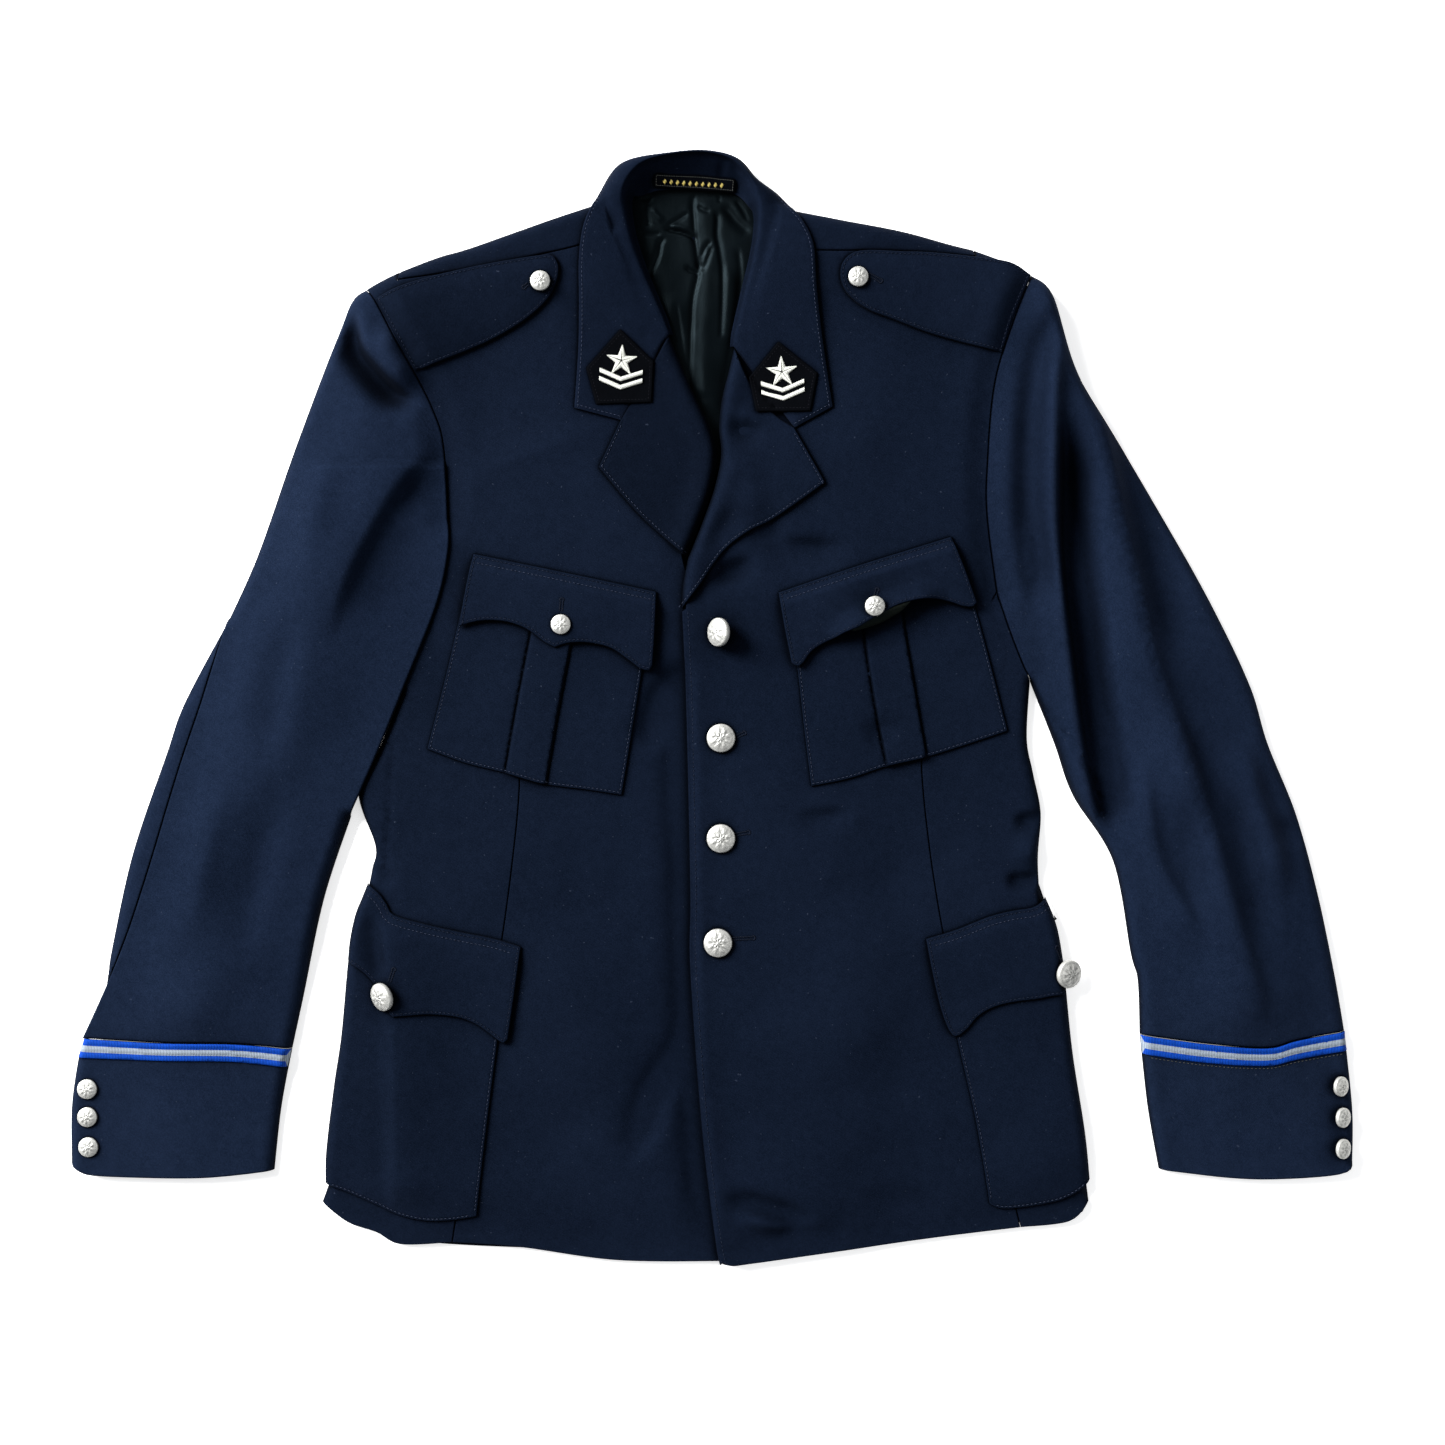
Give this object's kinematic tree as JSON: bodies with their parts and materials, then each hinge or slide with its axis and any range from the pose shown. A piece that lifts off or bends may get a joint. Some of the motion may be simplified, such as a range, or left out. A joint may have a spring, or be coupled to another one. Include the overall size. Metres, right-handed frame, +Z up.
{
  "type": "police uniform jacket",
  "caption": "Navy police uniform jacket laid flat, buttoned, with notched lapels, shoulder straps, pleated chest pockets, hip pockets and braided cuffs.",
  "frame": {"origin": "middle of the jacket's outline, on the surface that it lies on", "axes": "+Z up out of the front of the jacket, +Y from the hem to the collar, +X to the wearer's left sleeve"},
  "size_m": [0.937, 0.8116, 0.027],
  "materials": {
    "navy_twill": "matte twill",
    "black_lining": "satin",
    "blue_braid": "ribbed braid",
    "black_felt": "matte felt",
    "silver_metal": "satin silver"
  },
  "bodies": {
    "root": {"back": "navy_twill", "shoulder_right": "navy_twill", "shoulder_left": "navy_twill", "front_right": "navy_twill", "front_left": "navy_twill", "side_panel_right": "navy_twill", "side_panel_left": "navy_twill", "lapel_right": "navy_twill", "lapel_left": "navy_twill", "collar": "navy_twill", "neck_lining": "black_lining", "label": "black_lining", "top_sleeve_right": "navy_twill", "top_sleeve_left": "navy_twill", "under_sleeve_right": "navy_twill", "under_sleeve_left": "navy_twill", "cuff_right": "navy_twill", "cuff_left": "navy_twill", "braid_right": "blue_braid", "braid_left": "blue_braid", "strap_right": "navy_twill", "strap_left": "navy_twill", "chest_pocket_right": "navy_twill", "chest_pocket_left": "navy_twill", "chest_flap_right": "navy_twill", "chest_flap_left": "navy_twill", "hip_pocket_right": "navy_twill", "hip_pocket_left": "navy_twill", "hip_flap_right": "navy_twill", "hip_flap_left": "navy_twill", "patch_right": "black_felt", "patch_left": "black_felt", "button_front_1": "silver_metal", "button_front_2": "silver_metal", "button_front_3": "silver_metal", "button_front_4": "silver_metal", "button_chest_right": "silver_metal", "button_chest_left": "silver_metal", "button_hip_right": "silver_metal", "button_hip_left": "silver_metal", "button_strap_right": "silver_metal", "button_strap_left": "silver_metal", "button_cuff_right_1": "silver_metal", "button_cuff_right_2": "silver_metal", "button_cuff_right_3": "silver_metal", "button_cuff_left_1": "silver_metal", "button_cuff_left_2": "silver_metal", "button_cuff_left_3": "silver_metal"}
  },
  "joints": []
}
